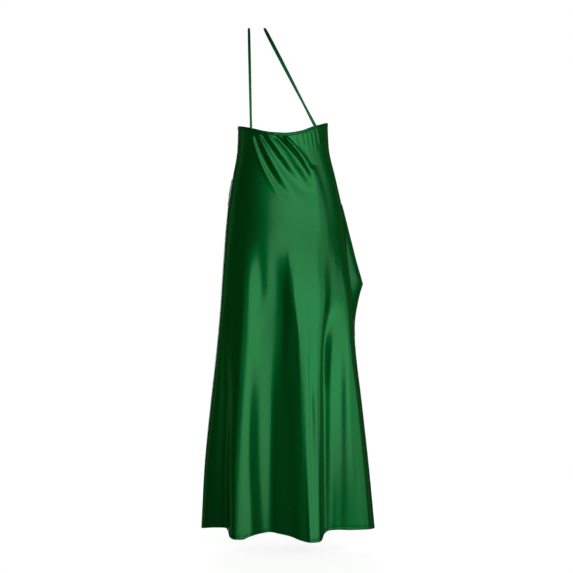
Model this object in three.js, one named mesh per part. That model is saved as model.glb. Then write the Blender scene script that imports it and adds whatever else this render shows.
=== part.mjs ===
// One-shoulder satin dress, worn: two panels that hang from a gathered band, two straps over the left
// shoulder and a swag drape on the right hip.
// Millimetres, +Z up. The wearer faces -Y with the left side at +X. The origin is the top of the left
// shoulder, midway between the two straps that it carries.

import * as THREE from 'three';

// ---- Driving dimensions ----

const CLOTH = 1.6;              // wall of a panel
const SEAM_GAP = 0.3;           // between pieces that are sewn together
const BAND_HEIGHT = 10;         // the turned casing along the top edge
const BAND_THICKNESS = 3;
const STRAP_WIDTH = 8;
const STRAP_THICKNESS = 2.2;
const STRAP_ARCH = 2.3;         // roundness of the way over the shoulder: 2 is an ellipse
const SHOULDER_FROM_AXIS = 86;  // the body axis lies this far to the wearer's right of the origin
const HEM = 1447;               // drop from the shoulder to the hem
// Drops of the levels that the panels are drawn at. Down to the waist the cloth lies round on the
// figure, and at the seat it is still round but its lines already run to their folds.
const CHEST = 290;
const WAIST = 430;
const SEAT = 575;
const HIP = 742;
const THIGH = 916;
const KNEE = 1076;

// The general figure that fills the dress. A row for each level: drop below the shoulder, the outline
// to the left and right of the body axis, and the depth behind and in front of it.
const SECTIONS = [
  { drop: 270, left: 141, right: -119, back: 96, front: 108 },
  { drop: 345, left: 143, right: -123, back: 94, front: 110 },
  { drop: 440, left: 158, right: -144, back: 90, front: 104 },
  { drop: 530, left: 172, right: -163, back: 99, front: 102 },
  { drop: 665, left: 184, right: -176, back: 121, front: 108 },
  { drop: 800, left: 193, right: -192, back: 136, front: 112 },
  { drop: 925, left: 204, right: -200, back: 138, front: 120 },
  { drop: 1090, left: 222, right: -219, back: 142, front: 132 },
  { drop: 1270, left: 239, right: -239, back: 150, front: 150 },
  { drop: 1447, left: 248, right: -256, back: 160, front: 168 },
];

// The top edge of the bands: drop of the edge at each place across.
const BACK_TOP_EDGE = [
  { x: -124, drop: 272 },
  { x: -98, drop: 283 },
  { x: -75, drop: 291 },
  { x: -38, drop: 305 },
  { x: 4, drop: 311 },
  { x: 47, drop: 308 },
  { x: 104, drop: 294 },
  { x: 144, drop: 283 },
];
const FRONT_TOP_EDGE = [
  { x: -124, drop: 272 },
  { x: -98, drop: 283 },
  { x: -60, drop: 292 },
  { x: 10, drop: 297 },
  { x: 80, drop: 294 },
  { x: 104, drop: 291 },
  { x: 144, drop: 283 },
];

// A table: rows of values under named columns.
function table(columns, rows) {
  return rows.map((row) => Object.fromEntries(columns.map((name, i) => [name, row[i]])));
}

// Lines that run down the skirt, from the right seam to the left one. Each row is the crest or the
// foot of a fold: its place across and its depth from the body axis at hip, thigh, knee and hem, and
// how much lower than the hem it ends.
const LINE_COLUMNS = [
  'line', 'hipX', 'hipDepth', 'thighX', 'thighDepth', 'kneeX', 'kneeDepth', 'hemX', 'hemDepth', 'lower',
];
const BACK_LINES = table(LINE_COLUMNS, [
  ['turn_right', -184, 50, -196, 62, -213, 78, -243, 84, -12],
  ['ridge_g', -177, 74, -189, 100, -202, 119, -218, 111, -14],
  ['crease_g', -169, 86, -182, 111, -190, 127, -197, 109, -14],
  ['ridge_f2', -160, 96, -170, 117, -172, 133, -180, 115, -14],
  ['hollow_f', -153, 100, -153, 118, -150, 132, -147, 109, -14],
  ['ridge_f', -144, 102, -136, 118, -129, 135, -126, 120, -14],
  ['valley_e', -122, 99, -111, 107, -111, 126, -113, 98, -5],
  ['wall_d', -105, 119, -97, 130, -95, 146, -101, 145, 9],
  ['ridge_d1', -91, 124, -88, 134, -82, 151, -90, 161, 12],
  ['dip_d', -66, 128, -71, 138, -70, 150, -78, 163, 13],
  ['ridge_d2', -41, 132, -54, 142, -57, 152, -67, 165, 13],
  ['slope_d', -23, 133, -38, 141, -43, 150, -56, 161, 12],
  ['side_c', -12, 131, -24, 136, -27, 144, -38, 155, 8],
  ['step_c', -1, 126, -7, 129, -4, 133, -10, 143, -1],
  ['foot_c', 10, 121, 15, 118, 21, 122, 21, 131, -6],
  ['fold_c', 28, 116, 41, 112, 46, 114, 45, 121, -9],
  ['ridge_a2', 53, 113, 78, 109, 75, 112, 69, 118, -5],
  ['valley_a', 77, 109, 94, 110, 104, 107, 100, 109, 6],
  ['ridge_a', 99, 109, 104, 111, 115, 108, 122, 106, 15],
  ['shoulder_a', 118, 105, 122, 108, 131, 104, 142, 103, 15],
  ['wall_a', 138, 92, 150, 93, 149, 95, 158, 92, 12],
  ['recess_a', 163, 76, 174, 70, 172, 62, 174, 48, -8],
  ['swell_left', 172, 68, 188, 64, 196, 57, 209, 30, -6],
  ['turn_left', 184, 45, 198, 46, 211, 42, 238, 16, -2],
]);
const FRONT_LINES = table(LINE_COLUMNS, [
  ['turn_right', -175, 37, -193, 28, -212, 32, -249, 20, 0],
  ['side_ridge', -158, 60, -173, 66, -189, 74, -218, 62, 0],
  ['side_hollow', -140, 71, -152, 80, -165, 84, -190, 58, 0],
  ['ridge_1', -119, 86, -129, 98, -138, 110, -156, 112, 2],
  ['ridge_1b', -97, 96, -104, 108, -112, 120, -118, 128, 3],
  ['valley_1', -74, 98, -81, 103, -88, 108, -90, 96, 1],
  ['slope_2', -50, 106, -55, 113, -60, 119, -62, 122, 2],
  ['ridge_2', -26, 112, -29, 123, -32, 134, -32, 152, 5],
  ['ridge_2b', -8, 111, -8, 121, -8, 131, -6, 144, 4],
  ['valley_2', 16, 107, 18, 113, 20, 116, 24, 110, 1],
  ['ridge_3', 42, 110, 45, 119, 48, 129, 56, 146, 4],
  ['dip_3', 64, 105, 68, 115, 72, 125, 82, 142, 3],
  ['valley_3', 88, 95, 93, 102, 98, 106, 108, 96, 1],
  ['ridge_4', 114, 90, 121, 99, 128, 109, 142, 118, 2],
  ['hollow_4', 138, 75, 147, 78, 156, 80, 174, 62, 0],
  ['ridge_5', 160, 61, 172, 62, 183, 69, 210, 58, 0],
  ['turn_left', 178, 38, 196, 26, 212, 30, 241, 18, 0],
]);

// Gathers that fall from the bands. Each row runs from its top to its foot, bowed sideways halfway,
// and is a ridge where its height is above 0 and a trough where it is below.
const BACK_GATHERS = [
  { fold: 'ridge_1', topX: 91, top: 310, footX: 13, foot: 474, bow: 16, width: 6.5, height: 4.2 },
  { fold: 'ridge_2', topX: 82, top: 310, footX: -20, foot: 472, bow: 1, width: 6.5, height: 4.5 },
  { fold: 'trough_2', topX: 62, top: 312, footX: -44, foot: 472, bow: 0, width: 5, height: -3.5 },
  { fold: 'ridge_3', topX: 56, top: 312, footX: -60, foot: 470, bow: -12, width: 7, height: 5 },
  { fold: 'trough_3', topX: -2, top: 320, footX: -70, foot: 452, bow: -4, width: 9, height: -6.5 },
  { fold: 'ridge_5', topX: -12, top: 316, footX: -72, foot: 440, bow: -14, width: 5.5, height: 4.5 },
  { fold: 'ridge_5_low', topX: -66, top: 400, footX: -100, foot: 540, bow: 4, width: 7, height: 3.5 },
  { fold: 'ridge_6', topX: -40, top: 310, footX: -97, foot: 436, bow: 0, width: 5, height: 3 },
];
const FRONT_GATHERS = [
  { fold: 'ridge_1', topX: -92, top: 304, footX: -70, foot: 400, bow: 3, width: 7, height: 3 },
  { fold: 'ridge_2', topX: -66, top: 306, footX: -44, foot: 430, bow: 4, width: 8, height: 4 },
  { fold: 'ridge_3', topX: -38, top: 308, footX: -22, foot: 410, bow: 2, width: 7, height: 3.5 },
  { fold: 'ridge_4', topX: -8, top: 309, footX: -2, foot: 440, bow: -2, width: 8, height: 4 },
  { fold: 'ridge_5', topX: 22, top: 309, footX: 14, foot: 405, bow: 2, width: 7, height: 3 },
  { fold: 'ridge_6', topX: 50, top: 308, footX: 34, foot: 436, bow: -3, width: 8, height: 4 },
  { fold: 'ridge_7', topX: 82, top: 306, footX: 62, foot: 410, bow: -3, width: 7, height: 3.5 },
  { fold: 'ridge_8', topX: 108, top: 302, footX: 92, foot: 392, bow: 0, width: 7, height: 3 },
];

const GATHER_FADE_IN = 8;       // a gather is full after 1/8 of its length
const GATHER_FADE_OUT = 1.8;    // and fades over the last 1/1.8 of it
const SEAM_CALM = 8;            // gathers die out within 1/8 of the panel's width from a side seam

// Each strap lies in one plane: its place across at the crown, on the back band and on the front one.
const STRAPS = [
  { name: 'strap_left', crownX: 109, backX: 101, frontX: 105 },
  { name: 'strap_right', crownX: 64, backX: -80, frontX: -97 },
];

// The swag from the right side seam round the front to the left one. A row for each place along it:
// share of the way, drop of its upper edge, of its crest and of its lower edge, and how far the crest
// stands out.
const SWAG = [
  { along: 0, top: 508, crest: 700, foot: 892, stand: 0 },
  { along: 0.03, top: 509, crest: 735, foot: 882, stand: 32 },
  { along: 0.08, top: 510, crest: 745, foot: 870, stand: 44 },
  { along: 0.16, top: 511, crest: 756, foot: 856, stand: 42 },
  { along: 0.35, top: 508, crest: 738, foot: 812, stand: 32 },
  { along: 0.6, top: 490, crest: 650, foot: 704, stand: 20 },
  { along: 0.85, top: 456, crest: 530, foot: 566, stand: 8 },
  { along: 1, top: 436, crest: 474, foot: 502, stand: 0 },
];
const SWAG_SEAM_GAP = 0.5;      // between the swag and the panel that it lies on, at its seams
const SWAG_CLEARANCE = 3;       // more air under the swag where it isn't sewn
const SWAG_EASE_IN = 12;        // it is reached within 1/12 of the way from either seam
const SWAG_UPPER_SWELL = 0.9;   // below 1 the cloth above the crest is full, above 1 it is hollow
const SWAG_LOWER_SWELL = 1.6;

const GRID = {
  panelStep: 2,                 // columns between neighbouring lines
  gatherZone: 0.16,             // share of a panel's length where the rows stand closer
  back: { gatherRows: 18, skirtRows: 18 },
  front: { gatherRows: 12, skirtRows: 14 },
  bandColumns: 40,
  swagRows: 14,
  strapRings: 28,
};

const SATIN = { color: 0x0f5929, roughness: 0.38, metalness: 0.25 };
const STRAP_SATIN = { color: 0x0d4f25, roughness: 0.45, metalness: 0.2 };

// ---- Curves ----

// A curve through the points that never swings past its neighbours (a monotone cubic). It can leave
// its first point and reach its last one level.
function smoothThrough(keys, values, levelEnds = false) {
  const last = keys.length - 1;
  const slopes = [];
  for (let i = 0; i < last; i += 1) {
    slopes.push((values[i + 1] - values[i]) / (keys[i + 1] - keys[i]));
  }
  const endShare = levelEnds ? 0 : 1;
  const tangents = [slopes[0] * endShare];
  for (let i = 1; i < last; i += 1) {
    const turns = slopes[i - 1] * slopes[i] <= 0;
    tangents.push(turns ? 0 : (2 * slopes[i - 1] * slopes[i]) / (slopes[i - 1] + slopes[i]));
  }
  tangents.push(slopes[last - 1] * endShare);
  return (key) => {
    const clamped = THREE.MathUtils.clamp(key, keys[0], keys[last]);
    let i = 0;
    while (i < last - 1 && clamped > keys[i + 1]) {
      i += 1;
    }
    const span = keys[i + 1] - keys[i];
    const t = (clamped - keys[i]) / span;
    const rest = 1 - t;
    const ends = values[i] * rest * rest * (1 + 2 * t) + values[i + 1] * t * t * (3 - 2 * t);
    return ends + span * t * rest * (tangents[i] * rest - tangents[i + 1] * t);
  };
}

function columnCurve(rows, key, column) {
  return smoothThrough(rows.map((row) => row[key]), rows.map((row) => row[column]));
}

const section = {
  left: columnCurve(SECTIONS, 'drop', 'left'),
  right: columnCurve(SECTIONS, 'drop', 'right'),
  back: columnCurve(SECTIONS, 'drop', 'back'),
  front: columnCurve(SECTIONS, 'drop', 'front'),
};
const middleAt = (drop) => (section.left(drop) + section.right(drop)) / 2;
const halfWidthAt = (drop) => (section.left(drop) - section.right(drop)) / 2;
const roundAt = (across) => Math.sqrt(Math.max(0, 1 - across * across));

// ---- Walls ----

// A closed wall. Its outer face runs through point(u, v), with u across and v down, and its inner face
// is moved in by the thickness. At its first and last columns the edge is square to the side seam, and
// at its first row it is level.
function wallGeometry(point, columns, rows, thickness, facing) {
  const nudge = 1e-4;
  const across = columns.length;
  const down = rows.length;
  const outer = [];
  const inner = [];
  rows.forEach((v, j) => {
    columns.forEach((u, i) => {
      const here = point(u, v);
      const alongU = point(Math.min(u + nudge, 1), v).sub(point(Math.max(u - nudge, 0), v));
      const alongV = point(u, Math.min(v + nudge, 1)).sub(point(u, Math.max(v - nudge, 0)));
      const normal = alongU.cross(alongV).multiplyScalar(facing);
      if (i === 0 || i === across - 1) {
        normal.y = 0;
      }
      if (j === 0) {
        normal.z = 0;
      }
      normal.normalize();
      outer.push(here);
      inner.push(here.clone().addScaledVector(normal, -thickness));
    });
  });
  const positions = [...outer, ...inner].flatMap((p) => [p.x, p.y, p.z]);
  const inside = outer.length;
  const at = (i, j) => j * across + i;
  const indices = [];
  const quad = (a, b, c, d) => indices.push(a, b, c, a, c, d);
  const face = facing > 0 ? quad : (a, b, c, d) => quad(d, c, b, a);
  for (let j = 0; j < down - 1; j += 1) {
    for (let i = 0; i < across - 1; i += 1) {
      const a = at(i, j);
      const b = at(i, j + 1);
      const c = at(i + 1, j + 1);
      const d = at(i + 1, j);
      face(d, c, b, a);
      face(b + inside, c + inside, d + inside, a + inside);
    }
  }
  for (let i = 0; i < across - 1; i += 1) {
    face(at(i, 0), at(i, 0) + inside, at(i + 1, 0) + inside, at(i + 1, 0));
    const low = down - 1;
    face(at(i + 1, low), at(i + 1, low) + inside, at(i, low) + inside, at(i, low));
  }
  for (let j = 0; j < down - 1; j += 1) {
    face(at(0, j + 1), at(0, j + 1) + inside, at(0, j) + inside, at(0, j));
    const end = across - 1;
    face(at(end, j), at(end, j) + inside, at(end, j + 1) + inside, at(end, j + 1));
  }
  const geometry = new THREE.BufferGeometry();
  geometry.setAttribute('position', new THREE.Float32BufferAttribute(positions, 3));
  geometry.setIndex(indices);
  geometry.computeVertexNormals();
  return geometry;
}

const evenSteps = (count) => Array.from({ length: count + 1 }, (_, i) => i / count);

// ---- Panels ----

// How far a gather lifts the cloth at a place.
function gatherLift(gathers, x, drop) {
  let lift = 0;
  for (const gather of gathers) {
    const along = (drop - gather.top) / (gather.foot - gather.top);
    if (along > 0 && along < 1) {
      const lean = (gather.footX - gather.topX) / (gather.foot - gather.top);
      const bowed = gather.bow * 4 * along * (1 - along);
      const centre = THREE.MathUtils.lerp(gather.topX, gather.footX, along) + bowed;
      const off = (x - centre) / Math.hypot(1, lean) / gather.width;
      const fade = Math.min(1, along * GATHER_FADE_IN) * Math.min(1, (1 - along) * GATHER_FADE_OUT);
      lift += gather.height * fade * Math.exp(-off * off);
    }
  }
  return lift;
}

// The form of a panel: the point at u across and a drop, moved out from its outer face.
function panelForm(side) {
  const depthAt = section[side.name];
  const levels = [CHEST, WAIST, SEAT, HIP, THIGH, KNEE, HEM];
  const places = evenSteps(side.lines.length + 1);
  const acrossCurves = [];
  const depthCurves = [];
  places.forEach((place, i) => {
    const row = side.lines[i - 1];
    if (row) {
      const roundShare = Math.sin((place - 0.5) * Math.PI);
      const hipShare = (row.hipX - middleAt(HIP)) / halfWidthAt(HIP);
      const shares = [
        roundShare,
        roundShare,
        hipShare,
        hipShare,
        (row.thighX - middleAt(THIGH)) / halfWidthAt(THIGH),
        (row.kneeX - middleAt(KNEE)) / halfWidthAt(KNEE),
        (row.hemX - middleAt(HEM)) / halfWidthAt(HEM),
      ];
      const depths = [
        roundAt(roundShare),
        roundAt(roundShare),
        roundAt(hipShare),
        row.hipDepth / depthAt(HIP),
        row.thighDepth / depthAt(THIGH),
        row.kneeDepth / depthAt(KNEE),
        row.hemDepth / depthAt(HEM),
      ];
      acrossCurves.push(smoothThrough(levels, shares));
      depthCurves.push(smoothThrough(levels, depths));
    } else {
      const seam = i === 0 ? -1 : 1;
      acrossCurves.push(() => seam);
      depthCurves.push(() => 0);
    }
  });
  return (u, drop, moved = 0) => {
    const share = smoothThrough(places, acrossCurves.map((curve) => curve(drop)), true)(u);
    const depth = smoothThrough(places, depthCurves.map((curve) => curve(drop)))(u);
    const x = middleAt(drop) + halfWidthAt(drop) * share;
    const out = new THREE.Vector2(share / halfWidthAt(drop), depth / depthAt(drop)).normalize();
    const calm = Math.min(1, SEAM_CALM * u, SEAM_CALM * (1 - u));
    const lift = moved + gatherLift(side.gathers, x, drop) * calm;
    const y = depthAt(drop) * depth + out.y * lift + SEAM_GAP / 2;
    return new THREE.Vector3(x + out.x * lift, side.facing * y, -drop);
  };
}

// The outer face of a panel, as a function of u across and v down.
function panelSurface(side) {
  const form = panelForm(side);
  const hemDrop = smoothThrough(
    evenSteps(side.lines.length + 1),
    [HEM, ...side.lines.map((row) => HEM + row.lower), HEM],
  );
  return (u, v) => {
    const top = bandTop(side, u) + BAND_HEIGHT + SEAM_GAP;
    return form(u, THREE.MathUtils.lerp(top, hemDrop(u), v));
  };
}

const SIDES = {
  back: {
    name: 'back',
    facing: 1,
    lines: BACK_LINES,
    gathers: BACK_GATHERS,
    topEdge: columnCurve(BACK_TOP_EDGE, 'x', 'drop'),
  },
  front: {
    name: 'front',
    facing: -1,
    lines: FRONT_LINES,
    gathers: FRONT_GATHERS,
    topEdge: columnCurve(FRONT_TOP_EDGE, 'x', 'drop'),
  },
};

function panelGeometry(side) {
  const { gatherRows, skirtRows } = GRID[side.name];
  const zone = GRID.gatherZone;
  const rows = evenSteps(gatherRows).map((share) => share * zone);
  rows.push(...evenSteps(skirtRows).slice(1).map((share) => zone + share * (1 - zone)));
  const columns = evenSteps((side.lines.length + 1) * GRID.panelStep);
  return wallGeometry(panelSurface(side), columns, rows, CLOTH, side.facing);
}

// ---- Bands ----

// A point on the figure at an angle round from the right seam and a drop, moved out by some way.
function figurePoint(side, u, drop, out) {
  const angle = (u - 0.5) * Math.PI;
  const x = middleAt(drop) + (halfWidthAt(drop) + out) * Math.sin(angle);
  const y = (section[side.name](drop) + out) * Math.cos(angle) + SEAM_GAP / 2;
  return new THREE.Vector3(x, side.facing * y, -drop);
}

function bandTop(side, u) {
  return side.topEdge(figurePoint(side, u, CHEST, 0).x);
}

const BAND_PROUD = (BAND_THICKNESS - CLOTH) / 2;

function bandGeometry(side) {
  const surface = (u, v) => figurePoint(side, u, bandTop(side, u) + v * BAND_HEIGHT, BAND_PROUD);
  return wallGeometry(surface, evenSteps(GRID.bandColumns), [0, 1], BAND_THICKNESS, side.facing);
}

// The drop of the band's top face at a place across: the higher of its outer and inner edges.
function bandFaceAt(side, x) {
  const drops = [BAND_PROUD, BAND_PROUD - BAND_THICKNESS].map((out) => {
    const edge = evenSteps(GRID.bandColumns).map((u) => figurePoint(side, u, bandTop(side, u), out));
    const i = Math.max(1, edge.findIndex((point) => point.x > x));
    const share = (x - edge[i - 1].x) / (edge[i].x - edge[i - 1].x);
    return -THREE.MathUtils.lerp(edge[i - 1].z, edge[i].z, share);
  });
  return Math.min(...drops);
}

// ---- Straps ----

const STRAP_NUDGE = 0.01;

// The middle of a strap, from the back band (turn 0) over the shoulder to the front one (turn 1).
function strapPath(strap) {
  const ends = { back: strap.backX, front: strap.frontX };
  const seat = {};
  for (const side of Object.values(SIDES)) {
    const share = (ends[side.name] - middleAt(CHEST)) / halfWidthAt(CHEST);
    const depth = section[side.name](CHEST) * roundAt(share);
    seat[side.name] = { y: depth, drop: side.topEdge(ends[side.name]) - SEAM_GAP };
  }
  return (turn) => {
    const angle = turn * Math.PI;
    const end = turn < 0.5 ? seat.back : seat.front;
    const endX = turn < 0.5 ? strap.backX : strap.frontX;
    const facing = turn < 0.5 ? 1 : -1;
    const rise = Math.abs(Math.sin(angle)) ** (2 / STRAP_ARCH);
    const reach = Math.abs(Math.cos(angle)) ** (2 / STRAP_ARCH);
    const crown = STRAP_THICKNESS / 2;
    const z = -end.drop + rise * (end.drop + crown);
    const x = strap.crownX + ((endX - strap.crownX) * (crown - z)) / (crown + end.drop);
    return new THREE.Vector3(x, facing * end.y * reach, z);
  };
}

function strapGeometry(strap) {
  const path = strapPath(strap);
  const positions = [];
  const rings = GRID.strapRings;
  for (let ring = 0; ring <= rings; ring += 1) {
    const turn = ring / rings;
    const here = path(turn);
    const ahead = path(Math.min(1, turn + STRAP_NUDGE));
    const along = ahead.sub(path(Math.max(0, turn - STRAP_NUDGE))).normalize();
    const outward = new THREE.Vector3(0, -along.z, along.y).normalize();
    const sideways = along.clone().cross(outward).normalize();
    const up = sideways.clone().cross(along).normalize();
    const corners = [[-1, -1], [1, -1], [1, 1], [-1, 1]];
    for (const [across, lift] of corners) {
      const corner = here.clone();
      corner.addScaledVector(sideways, (across * STRAP_WIDTH) / 2);
      corner.addScaledVector(up, (lift * STRAP_THICKNESS) / 2);
      if (ring === 0 || ring === rings) {
        const side = ring === 0 ? SIDES.back : SIDES.front;
        corner.z = SEAM_GAP - bandFaceAt(side, corner.x);
      }
      positions.push(corner.x, corner.y, corner.z);
    }
  }
  const indices = [0, 1, 2, 0, 2, 3];
  for (let ring = 0; ring < rings; ring += 1) {
    for (let k = 0; k < 4; k += 1) {
      const a = ring * 4 + k;
      const b = ring * 4 + ((k + 1) % 4);
      indices.push(b + 4, b, a, a + 4, b + 4, a);
    }
  }
  const end = rings * 4;
  indices.push(end + 2, end + 1, end, end + 3, end + 2, end);
  const geometry = new THREE.BufferGeometry();
  geometry.setAttribute('position', new THREE.Float32BufferAttribute(positions, 3));
  geometry.setIndex(indices);
  geometry.computeVertexNormals();
  return geometry;
}

// ---- Swag ----

// The swag's outer face: the front panel's points, moved out by the swag's own stand.
function swagSurface() {
  const panel = panelForm(SIDES.front);
  const curves = {};
  for (const column of ['top', 'crest', 'foot', 'stand']) {
    curves[column] = columnCurve(SWAG, 'along', column);
  }
  return (u, v) => {
    const top = curves.top(u);
    const crest = curves.crest(u);
    const foot = curves.foot(u);
    const drop = THREE.MathUtils.lerp(top, foot, v);
    const above = Math.max(0, (drop - top) / (crest - top)) ** SWAG_UPPER_SWELL;
    const below = Math.max(0, (foot - drop) / (foot - crest)) ** SWAG_LOWER_SWELL;
    const stand = curves.stand(u) * (drop < crest ? above : below);
    const ease = Math.min(1, SWAG_EASE_IN * u, SWAG_EASE_IN * (1 - u));
    return panel(u, drop, CLOTH + SWAG_SEAM_GAP + SWAG_CLEARANCE * ease + stand);
  };
}

function swagGeometry() {
  const columns = evenSteps((FRONT_LINES.length + 1) * GRID.panelStep);
  return wallGeometry(swagSurface(), columns, evenSteps(GRID.swagRows), CLOTH, SIDES.front.facing);
}

// ---- Assembly ----

function satinMesh(name, geometry, finish) {
  const mesh = new THREE.Mesh(geometry, new THREE.MeshStandardMaterial(finish));
  mesh.name = name;
  return mesh;
}

const onFigure = new THREE.Group();
onFigure.position.set(-SHOULDER_FROM_AXIS, 0, 0);
for (const side of Object.values(SIDES)) {
  onFigure.add(satinMesh(`${side.name}_panel`, panelGeometry(side), SATIN));
  onFigure.add(satinMesh(`${side.name}_band`, bandGeometry(side), STRAP_SATIN));
}
for (const strap of STRAPS) {
  onFigure.add(satinMesh(strap.name, strapGeometry(strap), STRAP_SATIN));
}
onFigure.add(satinMesh('hip_drape', swagGeometry(), SATIN));

const dress = new THREE.Group();
dress.name = 'one_shoulder_satin_dress';
dress.add(onFigure);

export default dress;
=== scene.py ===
"""A worn one-shoulder satin dress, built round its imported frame.

Lengths in the tables are millimetres from the wearer's body axis and down from the top of the
left shoulder. Everything placed in the scene is metres in the frame's own axes: +Z up, -Y the way
the wearer faces, +X to the wearer's left.
"""

import math

import bpy
import numpy as np
from bpy.props import FloatProperty, FloatVectorProperty, IntProperty, PointerProperty
from bpy.types import Operator, Panel, PropertyGroup
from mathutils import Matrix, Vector


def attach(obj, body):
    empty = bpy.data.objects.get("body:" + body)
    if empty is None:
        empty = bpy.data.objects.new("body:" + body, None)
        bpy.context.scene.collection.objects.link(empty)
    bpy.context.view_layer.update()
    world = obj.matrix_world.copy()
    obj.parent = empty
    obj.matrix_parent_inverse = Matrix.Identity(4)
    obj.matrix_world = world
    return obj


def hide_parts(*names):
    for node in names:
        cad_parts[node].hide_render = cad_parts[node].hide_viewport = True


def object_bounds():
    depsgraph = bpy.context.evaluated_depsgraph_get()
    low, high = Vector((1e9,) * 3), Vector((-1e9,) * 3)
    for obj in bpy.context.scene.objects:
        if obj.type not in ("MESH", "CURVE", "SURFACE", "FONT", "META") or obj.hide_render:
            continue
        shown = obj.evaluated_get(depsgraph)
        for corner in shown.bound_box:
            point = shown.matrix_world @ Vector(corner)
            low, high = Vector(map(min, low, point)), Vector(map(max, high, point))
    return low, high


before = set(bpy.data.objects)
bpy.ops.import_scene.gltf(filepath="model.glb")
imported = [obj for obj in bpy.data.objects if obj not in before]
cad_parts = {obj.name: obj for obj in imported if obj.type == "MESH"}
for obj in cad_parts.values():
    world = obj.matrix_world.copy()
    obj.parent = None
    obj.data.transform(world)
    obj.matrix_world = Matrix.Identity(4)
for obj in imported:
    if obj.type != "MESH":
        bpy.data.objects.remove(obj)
cad_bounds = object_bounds()

bl_info = {
    "name": "Worn Satin Dress",
    "version": (1, 0, 0),
    "blender": (4, 5, 0),
    "location": "View3D > Sidebar > Dress",
    "description": "Sews a worn one-shoulder satin dress round its frame",
    "category": "Add Mesh",
}

MM = 0.001
ROOT = "root"

# ----------------------------------------------------------------------------
# The cut: the form of the frame's solids with its finer gathers, in millimetres
# ----------------------------------------------------------------------------

SEAM_GAP = 0.3
BAND_HEIGHT = 10.0
BAND_THICKNESS = 3.0
BAND_CORNER = 1.0       # radius of its edges
BAND_FACE = 0.7         # how far its face stands out of the figure
BAND_SECTIONS = 260
STRAP_WIDTH = 6.6
STRAP_THICKNESS = 2.2
STRAP_CORNER = 1.05
STRAP_ARCH = 2.3        # the arch over the shoulder: 2 is an ellipse, more is squarer
STRAP_SECTIONS = 160
SHOULDER_FROM_AXIS = 86.0

# Drops of the figure's levels.
CHEST = 290.0
WAIST = 430.0
SEAT = 575.0
HIP = 742.0
THIGH = 916.0
KNEE = 1076.0
HEM = 1447.0


def table(columns, rows):
    """Rows of values under named columns."""
    return [dict(zip(columns.split(), row)) for row in rows]


# The general figure that fills the dress.
SECTIONS = table("drop left right back front", [
    (270, 141, -119, 96, 108),
    (345, 143, -123, 94, 110),
    (440, 158, -144, 90, 104),
    (530, 172, -163, 99, 102),
    (665, 184, -176, 121, 108),
    (800, 193, -192, 136, 112),
    (925, 204, -200, 138, 120),
    (1090, 222, -219, 142, 132),
    (1270, 239, -239, 150, 150),
    (1447, 248, -256, 160, 168),
])

# The bands' top edges.
BACK_TOP_EDGE = table("x drop", [
    (-124, 272), (-98, 283), (-75, 291), (-38, 305), (4, 311), (47, 308), (104, 294), (144, 283),
])
FRONT_TOP_EDGE = table("x drop", [
    (-124, 272), (-98, 283), (-60, 292), (10, 297), (80, 294), (104, 291), (144, 283),
])

# Crests and feet of the folds that run down the skirt, from the right seam to the left one. Depths
# are from the side seams' plane, and lower is how far the hem's edge hangs below the seams' there.
LINE_COLUMNS = "line hip_x hip_depth thigh_x thigh_depth knee_x knee_depth hem_x hem_depth lower"
BACK_LINES = table(LINE_COLUMNS, [
    ("turn_right", -184, 44, -196, 62, -213, 78, -249, 77, -12),
    ("ridge_g", -177, 60, -189, 100, -203, 118, -231, 106, -14),
    ("crease_g", -170, 69, -182, 111, -190, 127, -201, 113, -14),
    ("ridge_f2", -162, 76, -170, 117, -172, 133, -176, 116, -14),
    ("hollow_f", -154, 81, -152, 116, -149, 129, -146, 112, -14),
    ("ridge_f", -145, 87, -131, 115, -127, 131, -124, 119, -14),
    ("valley_e", -127, 98, -106, 108, -106, 127, -108, 117, -5),
    ("wall_d", -105, 117, -97, 130, -94, 145, -99, 148, 9),
    ("ridge_d1", -91, 124, -88, 134, -82, 151, -90, 161, 12),
    ("dip_d", -66, 128, -71, 138, -70, 150, -78, 163, 13),
    ("ridge_d2", -41, 132, -54, 142, -57, 152, -67, 165, 13),
    ("slope_d", -23, 133, -38, 141, -43, 150, -56, 161, 12),
    ("side_c", -12, 131, -24, 136, -27, 144, -38, 155, 8),
    ("step_c", -1, 126, -7, 129, -4, 133, -10, 143, -1),
    ("foot_c", 10, 121, 15, 118, 21, 122, 21, 131, -6),
    ("fold_c", 28, 116, 41, 112, 46, 114, 45, 121, -9),
    ("ridge_a2", 53, 113, 78, 109, 75, 112, 69, 117, -5),
    ("valley_a", 77, 109, 95, 110, 105, 107, 103, 109, 6),
    ("ridge_a", 100, 109, 106, 111, 118, 108, 126, 109, 15),
    ("shoulder_a", 119, 105, 125, 108, 135, 105, 146, 107, 15),
    ("wall_a", 139, 92, 150, 93, 151, 94, 160, 92, 12),
    ("recess_a", 163, 76, 174, 71, 173, 66, 174, 48, -8),
    ("swell_left", 172, 68, 188, 64, 196, 57, 209, 30, -6),
    ("turn_left", 184, 45, 198, 46, 211, 42, 238, 16, -2),
])
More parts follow.
